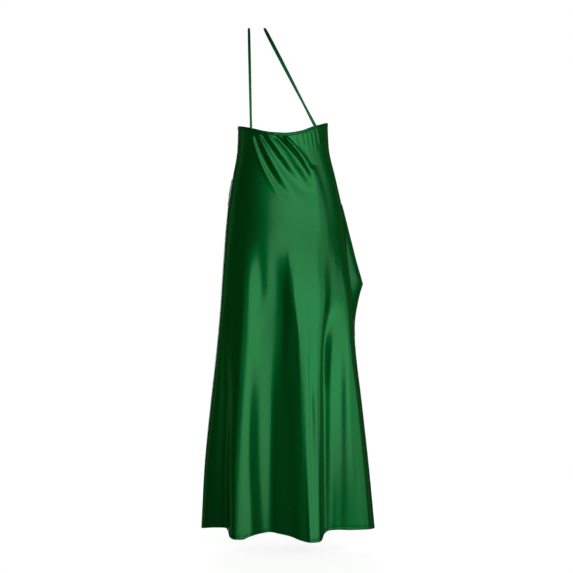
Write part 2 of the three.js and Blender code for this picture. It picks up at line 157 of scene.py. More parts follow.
FRONT_LINES = table(LINE_COLUMNS, [
    ("turn_right", -175, 37, -193, 28, -212, 32, -249, 20, 0),
    ("side_ridge", -158, 60, -173, 66, -189, 74, -218, 62, 0),
    ("side_hollow", -140, 71, -152, 80, -165, 84, -190, 58, 0),
    ("ridge_1", -119, 86, -129, 98, -138, 110, -156, 112, 2),
    ("ridge_1b", -97, 96, -104, 108, -112, 120, -118, 128, 3),
    ("valley_1", -74, 98, -81, 103, -88, 108, -90, 96, 1),
    ("slope_2", -50, 106, -55, 113, -60, 119, -62, 122, 2),
    ("ridge_2", -26, 112, -29, 123, -32, 134, -32, 152, 5),
    ("ridge_2b", -8, 111, -8, 121, -8, 131, -6, 144, 4),
    ("valley_2", 16, 107, 18, 113, 20, 116, 24, 110, 1),
    ("ridge_3", 42, 110, 45, 119, 48, 129, 56, 146, 4),
    ("dip_3", 64, 105, 68, 115, 72, 125, 82, 142, 3),
    ("valley_3", 88, 95, 93, 102, 98, 106, 108, 96, 1),
    ("ridge_4", 114, 90, 121, 99, 128, 109, 142, 118, 2),
    ("hollow_4", 138, 75, 147, 78, 156, 80, 174, 62, 0),
    ("ridge_5", 160, 61, 172, 62, 183, 69, 210, 58, 0),
    ("turn_left", 178, 38, 196, 26, 212, 30, 241, 18, 0),
])

# Gathers and creases on top of those: a ridge where the height is above 0, a trough below it. The
# bow is how far one bends aside halfway down.
FOLD_COLUMNS = "fold top_x top foot_x foot bow width height"
BACK_FOLDS = table(FOLD_COLUMNS, [
    ("ridge_0", 98, 314, 8, 506, 13, 6, 2.2),
    ("trough_1", 92, 312, -6, 500, 11, 9, -3),
    ("ridge_1", 81, 312, -38, 512, 8, 9, 3),
    ("trough_2", 73, 312, -55, 490, 4, 9, -2.7),
    ("ridge_2", 58, 312, -72, 480, 1, 9, 2.6),
    ("trough_3", 38, 314, -70, 466, -14, 10, -5.6),
    ("ridge_3", 14, 314, -80, 480, -24, 8, 4.6),
    ("trough_4", -20, 318, -86, 470, -18, 7, -1.2),
    ("ridge_side", -74, 400, -104, 740, -12, 22, 4.4),
    ("crease_d", -64, 930, -80, 1420, 0, 9, -0.8),
    ("pleat_1", 5, 316, -10, 345, 0, 5, 1.8),
    ("pleat_2", -22, 314, -35, 350, 0, 5, 1.9),
    ("pleat_3", -41, 309, -52, 362, 0, 4.6, 1.9),
    ("pleat_4", -54, 306, -64, 370, 0, 4.4, 1.6),
    ("pleat_5", -66, 303, -76, 372, 0, 4.4, 1.7),
    ("pleat_6", -78, 300, -86, 366, 0, 4.6, 1.5),
    ("pleat_7", -89, 297, -97, 352, 0, 4.4, 1.3),
    ("pleat_8", 112, 302, 102, 348, 0, 5, 0.9),
])
FRONT_FOLDS = table(FOLD_COLUMNS, [
    ("ridge_1", -92, 300, -70, 400, 3, 7, 3),
    ("ridge_2", -66, 302, -44, 430, 4, 8, 4),
    ("ridge_3", -38, 304, -22, 410, 2, 7, 3.5),
    ("ridge_4", -8, 306, -2, 440, -2, 8, 4),
    ("ridge_5", 22, 306, 14, 405, 2, 7, 3),
    ("ridge_6", 50, 305, 34, 436, -3, 8, 4),
    ("ridge_7", 82, 303, 62, 410, -3, 7, 3.5),
    ("ridge_8", 108, 300, 92, 392, 0, 7, 3),
    ("pleat_1", -80, 300, -72, 350, 0, 5, 2),
    ("pleat_2", -52, 303, -46, 352, 0, 4.8, 1.8),
    ("pleat_3", -24, 306, -20, 348, 0, 5.2, 2),
    ("pleat_4", 8, 306, 6, 356, 0, 5, 2),
    ("pleat_5", 36, 305, 30, 350, 0, 4.8, 1.8),
    ("pleat_6", 66, 304, 58, 356, 0, 5.2, 2),
    ("pleat_7", 95, 302, 86, 346, 0, 4.8, 1.8),
])
FOLD_FADE_IN = 13.0     # a fold is full this far below its top
FOLD_FADE_OUT = 2.6     # and fades over the last 1/2.6 of its length
FOLD_TOP_WIDTH = 0.5    # its width at the top is this share of the table's
FOLD_SPREAD = 1.0       # and grows by this share down to the foot
TUCK = 2.0              # how far a panel runs up inside its band
SEAM_CALM = 8.0         # folds die out within 1/8 of the panel's width from a side seam
SEAM_GROOVE = 0.9       # how far the cloth sinks at a side seam, where the two panels meet
SEAM_GROOVE_WIDTH = 0.009  # and over which share of the panel's width

# A panel has closer rows of points where it is gathered, down to this share of its length.
GATHER_ZONE = 0.16
GATHER_ROWS = 64
SKIRT_ROWS = 132

# The turned hem: rows of points by their height in hem turns and how far they swell out.
HEM_ROWS = table("up swell", [
    (1.02, -0.2), (0.96, 0.7), (0.8, 1), (0.5, 1), (0.2, 0.9), (0, 0.3),
])
HEM_START = 1.15        # the skirt's rows end this many hem turns up
HEM_CALM = 40.0         # the hem's swell dies out within 1/40 of the width from a side seam
HEM_STITCH = 0.9        # the stitch line, in hem turns up from the edge
HEM_STITCH_SWELL = 0.8  # and how much of the hem's swell it has

# The small puckers along a casing: uneven waves, lower at the casing's top edge than at its foot.
PUCKER = 0.28
PUCKER_WAVES = 95.0
PUCKER_DRIFT = 2.2
PUCKER_DRIFT_WAVES = 21.0
PUCKER_CALM = 9.0       # they die out within 1/9 of the width from a side seam
PUCKER_TOP_SHARE = 0.35
BAND_STITCH = 2.2       # the stitch line, up from a band's lower edge
THREAD_SEAT = 0.05      # the thread's middle lies this far out of the band's face

# One stitch: rings along its length, with their size and rise as shares of the thread's radius.
STITCH_RINGS = table("along size rise", [
    (-0.5, 0.45, -0.9), (-0.36, 0.9, 0.1), (0, 1, 0.55), (0.36, 0.9, 0.1), (0.5, 0.45, -0.9),
])
STITCH_CORNERS = 5

STRAPS = table("name crown_x back_x front_x", [
    ("strap_left", 109, 101, 105),
    ("strap_right", 64, -80, -92),
])

# The swag, from the right side seam round the front to the left one: drops of its upper edge, its
# crest and its lower edge, and how far the crest stands out.
SWAG = table("along top crest foot stand", [
    (0, 508, 700, 892, 0),
    (0.03, 509, 738, 882, 42),
    (0.08, 510, 750, 870, 56),
    (0.16, 511, 758, 856, 50),
    (0.35, 508, 738, 812, 34),
    (0.6, 490, 650, 704, 22),
    (0.85, 456, 530, 566, 10),
    (1, 436, 474, 502, 0),
])
# Soft folds along the swag: each one's share of the way down at the right and left seams, its
# width as a share too, and its height.
SWAG_FOLDS = table("fold right left width height", [
    ("fold_1", 0.10, 0.16, 0.035, 2.6),
    ("hollow_1", 0.20, 0.25, 0.045, -2.4),
    ("fold_2", 0.30, 0.36, 0.05, 3.6),
    ("hollow_2", 0.43, 0.46, 0.05, -2.6),
    ("fold_3", 0.56, 0.55, 0.04, 3.2),
    ("hollow_3", 0.72, 0.68, 0.05, -3.5),
    ("fold_4", 0.82, 0.78, 0.035, 2.4),
])
SWAG_FOLD_EASE = 4.0    # they grow over the first and last 1/4 of the way
SWAG_FOLD_POWER = 1.5   # and slowly at first
SWAG_SWAY = 0.02        # how far they sway up and down, as a share of the swag's height
SWAG_SWAY_WAVES = 9.0
SWAG_SWAY_SHIFT = 7.0
SWAG_HEM = 6.0          # its turned edges
SWAG_HEM_SWELL = 0.5
SWAG_STITCH = 5.2       # the stitch lines, in from its edges
SWAG_CLOTH = 1.6        # its wall
SWAG_SEAM_GAP = 0.5     # between the panel and the swag at the seams
SWAG_CLEARANCE = 3.0    # and how much more there is away from them
SWAG_EASE_IN = 12.0     # from 1/12 of the way on
SWAG_UPPER_SWELL = 0.95  # powers of its curve above and below the crest
SWAG_LOWER_SWELL = 1.6
SWAG_COLUMNS = 181
SWAG_ROWS = 101


# ----------------------------------------------------------------------------
# Curves and forms
# ----------------------------------------------------------------------------


def smooth(keys, values, query, level_ends=False):
    """A monotone cubic along the last axis of values, read at query. The other axes broadcast.

    It starts and ends with no slope where level_ends is true.
    """
    keys = np.asarray(keys, float)
    values = np.asarray(values, float)
    query = np.clip(np.asarray(query, float), keys[0], keys[-1])
    slopes = np.diff(values, axis=-1) / np.diff(keys)
    before, after = slopes[..., :-1], slopes[..., 1:]
    both = before * after
    total = np.where(both > 0, before + after, 1.0)
    inner = np.where(both > 0, 2 * both / total, 0.0)
    end_share = 0.0 if level_ends else 1.0
    tangents = np.concatenate(
        [slopes[..., :1] * end_share, inner, slopes[..., -1:] * end_share], axis=-1
    )
    i = np.clip(np.searchsorted(keys, query, side="right") - 1, 0, len(keys) - 2)
    span = keys[i + 1] - keys[i]
    t = (query - keys[i]) / span
    rest = 1 - t

    def pick(array, index):
        shape = np.broadcast_shapes(array.shape[:-1], index.shape)
        array = np.broadcast_to(array, shape + array.shape[-1:])
        index = np.broadcast_to(index, shape)
        return np.take_along_axis(array, index[..., None], -1)[..., 0]

    ends = pick(values, i) * rest**2 * (1 + 2 * t) + pick(values, i + 1) * t**2 * (3 - 2 * t)
    return ends + span * t * rest * (pick(tangents, i) * rest - pick(tangents, i + 1) * t)


def column(rows, name):
    """One named column of a table."""
    return np.array([row[name] for row in rows], float)


def section(name, drop):
    """How far the figure reaches to one side, at a drop."""
    return smooth(column(SECTIONS, "drop"), column(SECTIONS, name), drop)


def middle(drop):
    return (section("left", drop) + section("right", drop)) / 2


def half_width(drop):
    return (section("left", drop) - section("right", drop)) / 2


def calm(u, rate):
    """0 at the side seams and 1 within 1/rate of the width from them."""
    return np.minimum(1, np.minimum(rate * u, rate * (1 - u)))


def fold_lift(folds, x, drop):
    """How far the gathers and creases lift the cloth."""
    lift = np.zeros(np.broadcast_shapes(np.shape(x), np.shape(drop)))
    for fold in folds:
        length = fold["foot"] - fold["top"]
        run = fold["foot_x"] - fold["top_x"]
        along = np.clip((drop - fold["top"]) / length, 0, 1)
        centre = fold["top_x"] + run * along + fold["bow"] * 4 * along * (1 - along)
        width = fold["width"] * (FOLD_TOP_WIDTH + FOLD_SPREAD * along)
        off = (x - centre) / math.hypot(1, run / length) / width
        fade_in = np.minimum(1, along * length / FOLD_FADE_IN)
        fade_out = np.minimum(1, (1 - along) * FOLD_FADE_OUT)
        lift += fold["height"] * fade_in * fade_out * np.exp(-off * off)
    return lift


class Side:
    """One half of the dress, behind or in front of the side seams."""

    def __init__(self, name, facing, lines, folds, top_edge):
        self.name = name
        self.facing = facing
        self.folds = folds
        self.top_edge = top_edge
        self.places = np.linspace(0, 1, len(lines) + 2)
        self.levels = np.array([CHEST, WAIST, SEAT, HIP, THIGH, KNEE, HEM])
        round_shares = np.sin((self.places[1:-1] - 0.5) * math.pi)
        shares = [round_shares, round_shares]
        tabled = ((HIP, "hip"), (THIGH, "thigh"), (KNEE, "knee"), (HEM, "hem"))
        for level, place in (tabled[0], *tabled):  # the seat takes its shares from the hip
            shares.append((column(lines, f"{place}_x") - middle(level)) / half_width(level))
        shares = np.array(shares)
        depths = np.sqrt(np.maximum(0, 1 - shares**2))
        for row, (level, place) in zip(depths[-len(tabled):], tabled):
            row[:] = column(lines, f"{place}_depth") / self.depth(level)
        seams = np.ones(len(self.levels))
        self.shares = np.column_stack([-seams, shares, seams])
        self.depths = np.column_stack([0 * seams, depths, 0 * seams])
        self.hem_drops = np.concatenate([[HEM], HEM + column(lines, "lower"), [HEM]])

    def depth(self, drop):
        return section(self.name, drop)

    def top(self, u):
        """The drop of the band's top edge."""
        return self.top_at(middle(CHEST) + half_width(CHEST) * np.sin((u - 0.5) * math.pi))

    def top_at(self, x):
        return smooth(column(self.top_edge, "x"), column(self.top_edge, "drop"), x)

    def hem(self, u):
        """The drop of the hem's edge."""
        return smooth(self.places, self.hem_drops, u)

    def point(self, u, drop, moved=0.0):
        """Points of the panel's outer face, moved out by some way, in millimetres."""
        u, drop = np.broadcast_arrays(np.asarray(u, float), np.asarray(drop, float))
        share_lines = smooth(self.levels, self.shares.T, drop[..., None])
        depth_lines = smooth(self.levels, self.depths.T, drop[..., None])
        share = smooth(self.places, share_lines, u, level_ends=True)
        depth = smooth(self.places, depth_lines, u)
        x = middle(drop) + half_width(drop) * share
        out_x = share / half_width(drop)
        out_y = depth / self.depth(drop)
        size = np.hypot(out_x, out_y)
        groove = np.exp(-((np.minimum(u, 1 - u) / SEAM_GROOVE_WIDTH) ** 2))
        folds = fold_lift(self.folds, x, drop) * calm(u, SEAM_CALM)
        lift = moved + folds - SEAM_GROOVE * groove
        y = self.depth(drop) * depth + out_y / size * lift + SEAM_GAP / 2 * (1 - groove)
        return np.stack([x + out_x / size * lift, self.facing * y, -drop], axis=-1)

    def figure(self, u, drop, out):
        """Points of the smooth figure, moved out by some way."""
        angle = (u - 0.5) * math.pi
        x = middle(drop) + (half_width(drop) + out) * np.sin(angle)
        y = (self.depth(drop) + out) * np.cos(angle) + SEAM_GAP / 2
        return np.stack(np.broadcast_arrays(x, self.facing * y, -drop), axis=-1)


BACK = Side("back", 1, BACK_LINES, BACK_FOLDS, BACK_TOP_EDGE)
FRONT = Side("front", -1, FRONT_LINES, FRONT_FOLDS, FRONT_TOP_EDGE)


def in_frame(points):
    """Millimetres on the figure to metres in the frame."""
    return (np.asarray(points) - (SHOULDER_FROM_AXIS, 0, 0)) * MM


def swag_points(u, v):
    """The swag's outer face: the front panel's points moved out by its own stand."""
    along = column(SWAG, "along")
    top, crest, foot, stand = (
        smooth(along, column(SWAG, name), u) for name in ("top", "crest", "foot", "stand")
    )
    drop = top + (foot - top) * v
    above = np.clip((drop - top) / (crest - top), 0, None) ** SWAG_UPPER_SWELL
    below = np.clip((foot - drop) / (foot - crest), 0, None) ** SWAG_LOWER_SWELL
    rise = stand * np.where(drop < crest, above, below)
    ease = calm(u, SWAG_EASE_IN)
    grow = calm(u, SWAG_FOLD_EASE) ** SWAG_FOLD_POWER
    for fold in SWAG_FOLDS:
        sway = SWAG_SWAY * np.sin(SWAG_SWAY_WAVES * u + SWAG_SWAY_SHIFT * fold["right"])
        centre = fold["right"] + (fold["left"] - fold["right"]) * u + sway
        rise = rise + fold["height"] * grow * np.exp(-(((v - centre) / fold["width"]) ** 2))
    from_edge = np.minimum(drop - top, foot - drop)
    rise = rise + SWAG_HEM_SWELL * ease * np.exp(-((from_edge / SWAG_HEM) ** 6))
    return FRONT.point(u, drop, SWAG_CLOTH + SWAG_SEAM_GAP + SWAG_CLEARANCE * ease + rise)


# ----------------------------------------------------------------------------
# Making meshes
# ----------------------------------------------------------------------------


def deselect_all():
    bpy.ops.object.select_all(action="DESELECT")


def make_active(piece):
    deselect_all()
    piece.select_set(True)
    bpy.context.view_layer.objects.active = piece


def unit(vectors):
    return vectors / np.linalg.norm(vectors, axis=-1, keepdims=True)


def arc_lengths(points, axis):
    """Lengths along the rows or columns of a grid of points, from 0."""
    steps = np.linalg.norm(np.diff(points, axis=axis), axis=-1)
    return np.concatenate([np.zeros_like(np.take(steps, [0], axis)), np.cumsum(steps, axis)], axis)


def add_sheet(name, points, facing):
    """A grid primitive shaped to points[row][column], rows from the top down, faces outward.

    Its UV map holds the lengths across and down the cloth in metres.
    """
    rows, columns = points.shape[:2]
    deselect_all()
    bpy.ops.mesh.primitive_grid_add(x_subdivisions=columns - 1, y_subdivisions=rows - 1, size=2)
    piece = bpy.context.object
    piece.name = piece.data.name = name
    mesh = piece.data
    flat = np.empty(len(mesh.vertices) * 3)
    mesh.vertices.foreach_get("co", flat)
    flat = flat.reshape(-1, 3)
    i = np.rint((flat[:, 0] + 1) / 2 * (columns - 1)).astype(int)
    j = np.rint((1 - flat[:, 1]) / 2 * (rows - 1)).astype(int)
    if facing > 0:
        i = columns - 1 - i
    mesh.vertices.foreach_set("co", points[j, i].ravel())
    across = arc_lengths(points, 1)
    across = across - across[:, columns // 2, None]
    down = arc_lengths(points, 0)
    at = np.empty(len(mesh.loops), int)
    mesh.loops.foreach_get("vertex_index", at)
    uv = np.column_stack([across[j, i][at], -down[j, i][at]])
    mesh.uv_layers.active.data.foreach_set("uv", uv.ravel())
    mesh.update()
    return piece


def give_wall(piece, thickness):
    """Solidify inwards, with the second material on the inside."""
    make_active(piece)
    wall = piece.modifiers.new("wall", "SOLIDIFY")
    wall.thickness = thickness
    wall.offset = -1
    wall.use_even_offset = False
    wall.material_offset = 1
    bpy.ops.object.modifier_apply(modifier=wall.name)
    bpy.ops.object.shade_smooth_by_angle(angle=math.radians(50))


def tube_faces(start, count, corners):
    """Faces of a closed sweep of rings with flat ends, whose points begin at start."""
    faces = []
    for ring in range(start, start + (count - 1) * corners, corners):
        for k in range(corners):
            a, b = ring + k, ring + (k + 1) % corners
            faces.append((a, b, b + corners, a + corners))
    last = start + (count - 1) * corners
    faces.append(tuple(range(start, start + corners))[::-1])
    faces.append(tuple(range(last, last + corners)))
    return faces


def add_mesh(name, vertices, faces, smooth_angle):
    """A smooth-shaded piece with its faces turned outward."""
    mesh = bpy.data.meshes.new(name)
    mesh.from_pydata([tuple(vertex) for vertex in vertices], [], faces)
    piece = bpy.data.objects.new(name, mesh)
    bpy.context.scene.collection.objects.link(piece)
    make_active(piece)
    bpy.ops.object.mode_set(mode="EDIT")
    bpy.ops.mesh.select_all(action="SELECT")
    bpy.ops.mesh.normals_make_consistent(inside=False)
    bpy.ops.object.mode_set(mode="OBJECT")
    bpy.ops.object.shade_smooth_by_angle(angle=math.radians(smooth_angle))
    return piece


def add_tube(name, rings):
    """A closed sweep: rings[ring][corner] with flat ends, with lengths in its UV map."""
    count, corners = rings.shape[:2]
    piece = add_mesh(name, rings.reshape(-1, 3), tube_faces(0, count, corners), 50)
    mesh = piece.data
    closed = np.concatenate([rings, rings[:, :1]], axis=1)
    round_length = arc_lengths(closed, 1)[count // 2]
    along = arc_lengths(rings.mean(axis=1)[:, None], 0)[:, 0]
    layer = mesh.uv_layers.new(name="UVMap")
    for polygon in mesh.polygons:
        loops = list(polygon.loop_indices)
        places = [divmod(mesh.loops[loop].vertex_index, corners) for loop in loops]
        wraps = {k for _, k in places} == {0, corners - 1}
        for loop, (ring, k) in zip(loops, places):
            turn = corners if wraps and k == 0 else k
            layer.data[loop].uv = (round_length[turn], along[ring])
    return piece


def rounded_section(width, thickness, corner, per_corner=3):
    """Corner points of a flat section with round edges, as (across, out) pairs."""
    points = []
    for turn, (sx, sy) in enumerate(((1, 1), (-1, 1), (-1, -1), (1, -1))):
        for step in range(per_corner):
            angle = (turn + step / (per_corner - 1)) * math.pi / 2
            points.append((
                sx * (width / 2 - corner) + corner * math.cos(angle),
                sy * (thickness / 2 - corner) + corner * math.sin(angle),
            ))
    return points


# ----------------------------------------------------------------------------
# Materials
# ----------------------------------------------------------------------------


def new_material(name):
    material = bpy.data.materials.new(name)
    material.use_nodes = True
    nodes = material.node_tree.nodes
    shader = next(node for node in nodes if node.type == "BSDF_PRINCIPLED")
    return material, nodes, material.node_tree.links, shader


WEAVE_PITCH = 0.0005
BIAS = math.radians(45)


def weave_bump(nodes, links, shader, strength, slub_strength):
    """A fine diagonal weave with slubs, on the lengths in the UV map: cloth cut on the bias."""
    lengths = nodes.new("ShaderNodeTexCoord")
    turned = nodes.new("ShaderNodeMapping")
    turned.inputs["Rotation"].default_value[2] = BIAS
    links.new(lengths.outputs["UV"], turned.inputs["Vector"])
    threads = nodes.new("ShaderNodeTexWave")
    threads.bands_direction = "X"
    threads.inputs["Scale"].default_value = 2 * math.pi / WEAVE_PITCH / 20
    threads.inputs["Distortion"].default_value = 0.6
    threads.inputs["Detail"].default_value = 1
    links.new(turned.outputs["Vector"], threads.inputs["Vector"])
    slubs = nodes.new("ShaderNodeTexNoise")
    slubs.inputs["Scale"].default_value = 160
    slubs.inputs["Detail"].default_value = 3
    stretched = nodes.new("ShaderNodeMapping")
    stretched.inputs["Rotation"].default_value[2] = BIAS
    stretched.inputs["Scale"].default_value = (0.25, 2.5, 1)
    links.new(lengths.outputs["UV"], stretched.inputs["Vector"])
    links.new(stretched.outputs["Vector"], slubs.inputs["Vector"])
    fine = nodes.new("ShaderNodeBump")
    fine.inputs["Strength"].default_value = strength
    fine.inputs["Distance"].default_value = 0.0001
    links.new(threads.outputs["Fac"], fine.inputs["Height"])
    coarse = nodes.new("ShaderNodeBump")
    coarse.inputs["Strength"].default_value = slub_strength
    coarse.inputs["Distance"].default_value = 0.0004
    links.new(slubs.outputs["Fac"], coarse.inputs["Height"])
    links.new(fine.outputs["Normal"], coarse.inputs["Normal"])
    links.new(coarse.outputs["Normal"], shader.inputs["Normal"])
    return slubs


def shaded_colour(nodes, links, shader, colour, variation, pattern):
    """The colour, a little darker and lighter along the slubs."""
    ramp = nodes.new("ShaderNodeValToRGB")
    ramp.color_ramp.elements[0].position = 0.3
    ramp.color_ramp.elements[1].position = 0.7
    for element, change in zip(ramp.color_ramp.elements, (1 - variation, 1 + variation)):
        element.color = (*(channel * change for channel in colour), 1)
    links.new(pattern.outputs["Fac"], ramp.inputs["Fac"])
    links.new(ramp.outputs["Color"], shader.inputs["Base Color"])


def satin_face(name, gloss=1.0, lustre=1.0):
    """A tinted shine with a pale gloss over it."""
    colours = bpy.context.scene.dress_colours
    material, nodes, links, shader = new_material(name)
    slubs = weave_bump(nodes, links, shader, 0.12, 0.04)
    shaded_colour(nodes, links, shader, colours.satin, 0.05, slubs)
    shader.inputs["Roughness"].default_value = colours.satin_roughness
    shader.inputs["IOR"].default_value = 1.8
    shader.inputs["Specular IOR Level"].default_value = gloss
    shader.inputs["Specular Tint"].default_value = (*colours.shine, 1)
    shader.inputs["Coat Weight"].default_value = colours.lustre * lustre
    shader.inputs["Coat Roughness"].default_value = colours.lustre_roughness
    return material


def satin_binding(name):
    """The same satin on the narrow pieces, where the turned edges dull it."""
    return satin_face(name, gloss=0.6, lustre=0.3)


def satin_reverse(name):
    """The dull inside of the cloth."""
    colours = bpy.context.scene.dress_colours
    material, nodes, links, shader = new_material(name)
    slubs = weave_bump(nodes, links, shader, 0.25, 0.1)
    shaded_colour(nodes, links, shader, colours.reverse, 0.07, slubs)
    shader.inputs["Roughness"].default_value = 0.75
    shader.inputs["Specular IOR Level"].default_value = 0.3
    shader.inputs["Sheen Weight"].default_value = 0.15
    return material


def thread_material(name):
    colours = bpy.context.scene.dress_colours
    material, nodes, links, shader = new_material(name)
    place = nodes.new("ShaderNodeTexCoord")
    twist = nodes.new("ShaderNodeTexNoise")
    twist.inputs["Scale"].default_value = 900
    links.new(place.outputs["Object"], twist.inputs["Vector"])
    shaded_colour(nodes, links, shader, colours.thread, 0.15, twist)
    shader.inputs["Roughness"].default_value = 0.5
    shader.inputs["Specular Tint"].default_value = (*colours.shine, 1)
    return material


def shared_material(maker):
    """The material of a maker, made once and named after it."""
    return bpy.data.materials.get(maker.__name__) or maker(maker.__name__)


def dress_in(piece, *makers):
    piece.data.materials.clear()
    for maker in makers:
        piece.data.materials.append(shared_material(maker))


# ----------------------------------------------------------------------------
# Properties
# ----------------------------------------------------------------------------


class DressSizes(PropertyGroup):
    cloth: FloatProperty(
        name="Cloth wall", description="Thickness of a panel's wall", default=0.0016, unit="LENGTH"
    )
    hem_turn: FloatProperty(
        name="Hem turn", description="Height of the narrow rolled hem", default=0.007, unit="LENGTH"
    )
    hem_swell: FloatProperty(
        name="Hem swell", description="How much the turned hem stands out", default=0.0005,
        unit="LENGTH",
    )
    stitch_pitch: FloatProperty(
        name="Stitch pitch", description="From one stitch to the next", default=0.0036,
        unit="LENGTH",
    )
    stitch_length: FloatProperty(
        name="Stitch length", description="Length of one stitch", default=0.0025, unit="LENGTH"
    )
    thread_radius: FloatProperty(
        name="Thread radius", description="Half the thickness of the thread", default=0.00025,
        unit="LENGTH",
    )
    columns: IntProperty(
        name="Columns", description="Columns of points across a panel", default=226, min=60
    )


class DressColours(PropertyGroup):
    satin: FloatVectorProperty(
        name="Satin", description="Face of the cloth", default=(0.0001, 0.06, 0.002),
        subtype="COLOR",
    )
    shine: FloatVectorProperty(
        name="Shine", description="Tint of the soft highlights", default=(0.002, 1.0, 0.23),
        subtype="COLOR",
    )
    lustre: FloatProperty(
        name="Lustre", description="Strength of the pale gloss over the shine", default=0.4,
        subtype="FACTOR",
    )
    lustre_roughness: FloatProperty(
        name="Lustre roughness", description="Width of the pale gloss", default=0.17,
        subtype="FACTOR",
    )
    satin_roughness: FloatProperty(
        name="Satin roughness", description="Width of the soft highlights", default=0.42,
        subtype="FACTOR",
    )
    reverse: FloatVectorProperty(
        name="Reverse", description="Inside of the cloth", default=(0.005, 0.075, 0.022),
        subtype="COLOR",
    )
    thread: FloatVectorProperty(
        name="Thread", description="Sewing thread", default=(0.005, 0.1, 0.025), subtype="COLOR"
    )


class StageSettings(PropertyGroup):
    camera_distance: FloatProperty(
        name="Camera distance", description="From the body axis", default=4.0, unit="LENGTH"
    )
    camera_drop: FloatProperty(
        name="Camera drop", description="Below the top of the shoulder", default=0.747,
        unit="LENGTH",
    )
    half_view: FloatProperty(
        name="Half view", description="Half the width seen at the body axis", default=0.831,
        unit="LENGTH",
    )
    floor_gap: FloatProperty(
        name="Floor gap", description="From the hem down to the floor", default=0.045, unit="LENGTH"
    )
    floor_glow: FloatProperty(
        name="Floor glow", description="Keeps the floor as pale as the background", default=0.8,
        min=0,
    )
    key_energy: FloatProperty(
        name="Key light", description="Power of the main softbox", default=86, subtype="POWER"
    )
    side_energy: FloatProperty(
        name="Side light", description="Power of the softbox at the right", default=29,
        subtype="POWER",
    )
    front_energy: FloatProperty(
        name="Front light", description="Power of the softbox before the wearer", default=74,
        subtype="POWER",
    )
    rim_energy: FloatProperty(
        name="Rim lights", description="Power of the softbox at the left of the dress", default=4,
        subtype="POWER",
    )
    rim_colour: FloatVectorProperty(
        name="Rim colour", description="Green boards that carry the cloth's colour round its edges",
        default=(0.2, 1.0, 0.35), subtype="COLOR",
    )
    world_light: FloatProperty(
        name="Room light", description="Even light of the room", default=0.025, min=0
    )
    ground: FloatVectorProperty(
        name="Ground", description="Floor and background", default=(1.0, 1.0, 1.0),
        subtype="COLOR",
    )


# ----------------------------------------------------------------------------
# Pieces
# ----------------------------------------------------------------------------


def finish_cloth(piece, node):
    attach(piece, ROOT)
    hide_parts(node)


def panel_points(side):
    """Points of a panel's outer face in the frame, with the turned hem at its foot."""
    sizes = bpy.context.scene.dress_sizes
    u = np.linspace(0, 1, sizes.columns)[None]
    turn = sizes.hem_turn / MM
    v = np.concatenate([
        np.linspace(0, GATHER_ZONE, GATHER_ROWS, endpoint=False),
        np.linspace(GATHER_ZONE, 1, SKIRT_ROWS),
    ])[:, None]
    top = side.top(u) + BAND_HEIGHT - TUCK
    hem = side.hem(u)
    body = top + (hem - turn * HEM_START - top) * v
    edge = hem - turn * column(HEM_ROWS, "up")[:, None]
    drop = np.concatenate([body, edge])
    swell = np.concatenate([np.zeros(len(body)), column(HEM_ROWS, "swell")])[:, None]
    lift = swell * sizes.hem_swell / MM * calm(u, HEM_CALM)
    return in_frame(side.point(u, drop, lift))


def cut_size(points):
    """The flat width, length and area of a cloth grid."""
    across = arc_lengths(points, 1)[:, -1].max()
    down = arc_lengths(points, 0)[-1].max()
    first = points[1:, :-1] - points[:-1, :-1]
    second = points[:-1, 1:] - points[:-1, :-1]
    area = np.linalg.norm(np.cross(first, second), axis=-1).sum()
    return across, down, area


class DRESS_OT_panels(Operator):
    """Sew the back and front panels: thin satin walls that hang from the bands in deep flutes"""

    bl_idname = "dress.panels"
    bl_label = "Panels"

    def execute(self, context):
        for side in (BACK, FRONT):
            points = panel_points(side)
            piece = add_sheet(f"{side.name}_panel_cloth", points, side.facing)
            dress_in(piece, satin_face, satin_reverse)
            give_wall(piece, context.scene.dress_sizes.cloth)
            finish_cloth(piece, f"{side.name}_panel")
            across, down, area = cut_size(points)
        return {"FINISHED"}


class DRESS_OT_hip_drape(Operator):
    """Sew the swag that hangs from the side seams across the front"""

    bl_idname = "dress.hip_drape"
    bl_label = "Hip drape"

    def execute(self, context):
        u = np.linspace(0, 1, SWAG_COLUMNS)[None]
        v = np.linspace(0, 1, SWAG_ROWS)[:, None]
        points = in_frame(swag_points(u, v))
        piece = add_sheet("hip_drape_cloth", points, FRONT.facing)
        dress_in(piece, satin_face, satin_reverse)
        give_wall(piece, context.scene.dress_sizes.cloth)
        finish_cloth(piece, "hip_drape")
        across, down, area = cut_size(points)
        return {"FINISHED"}


def band_rings(side):
    """Sections of a band: a turned casing, puckered where the panel is gathered into it."""
    u = np.linspace(0, 1, BAND_SECTIONS)
    top = side.top(u)
    waves = np.sin(u * PUCKER_WAVES + PUCKER_DRIFT * np.sin(u * PUCKER_DRIFT_WAVES))
    puckers = PUCKER * waves * calm(u, PUCKER_CALM)
    rings = []
    for across, out in rounded_section(BAND_HEIGHT, BAND_THICKNESS, BAND_CORNER):
        drop = top + BAND_HEIGHT / 2 + across
        low = np.clip(across / BAND_HEIGHT + 0.5, 0, 1)
        lift = out - BAND_THICKNESS / 2 + BAND_FACE + puckers * (PUCKER_TOP_SHARE + low)
        rings.append(side.figure(u, drop, lift))
    return in_frame(np.stack(rings, axis=1))


class DRESS_OT_bands(Operator):
    """Sew the narrow casings along the back and front top edges"""

    bl_idname = "dress.bands"
    bl_label = "Bands"

    def execute(self, context):
        for side in (BACK, FRONT):
            piece = add_tube(f"{side.name}_band_cloth", band_rings(side))
            dress_in(piece, satin_binding)
            finish_cloth(piece, f"{side.name}_band")
        return {"FINISHED"}


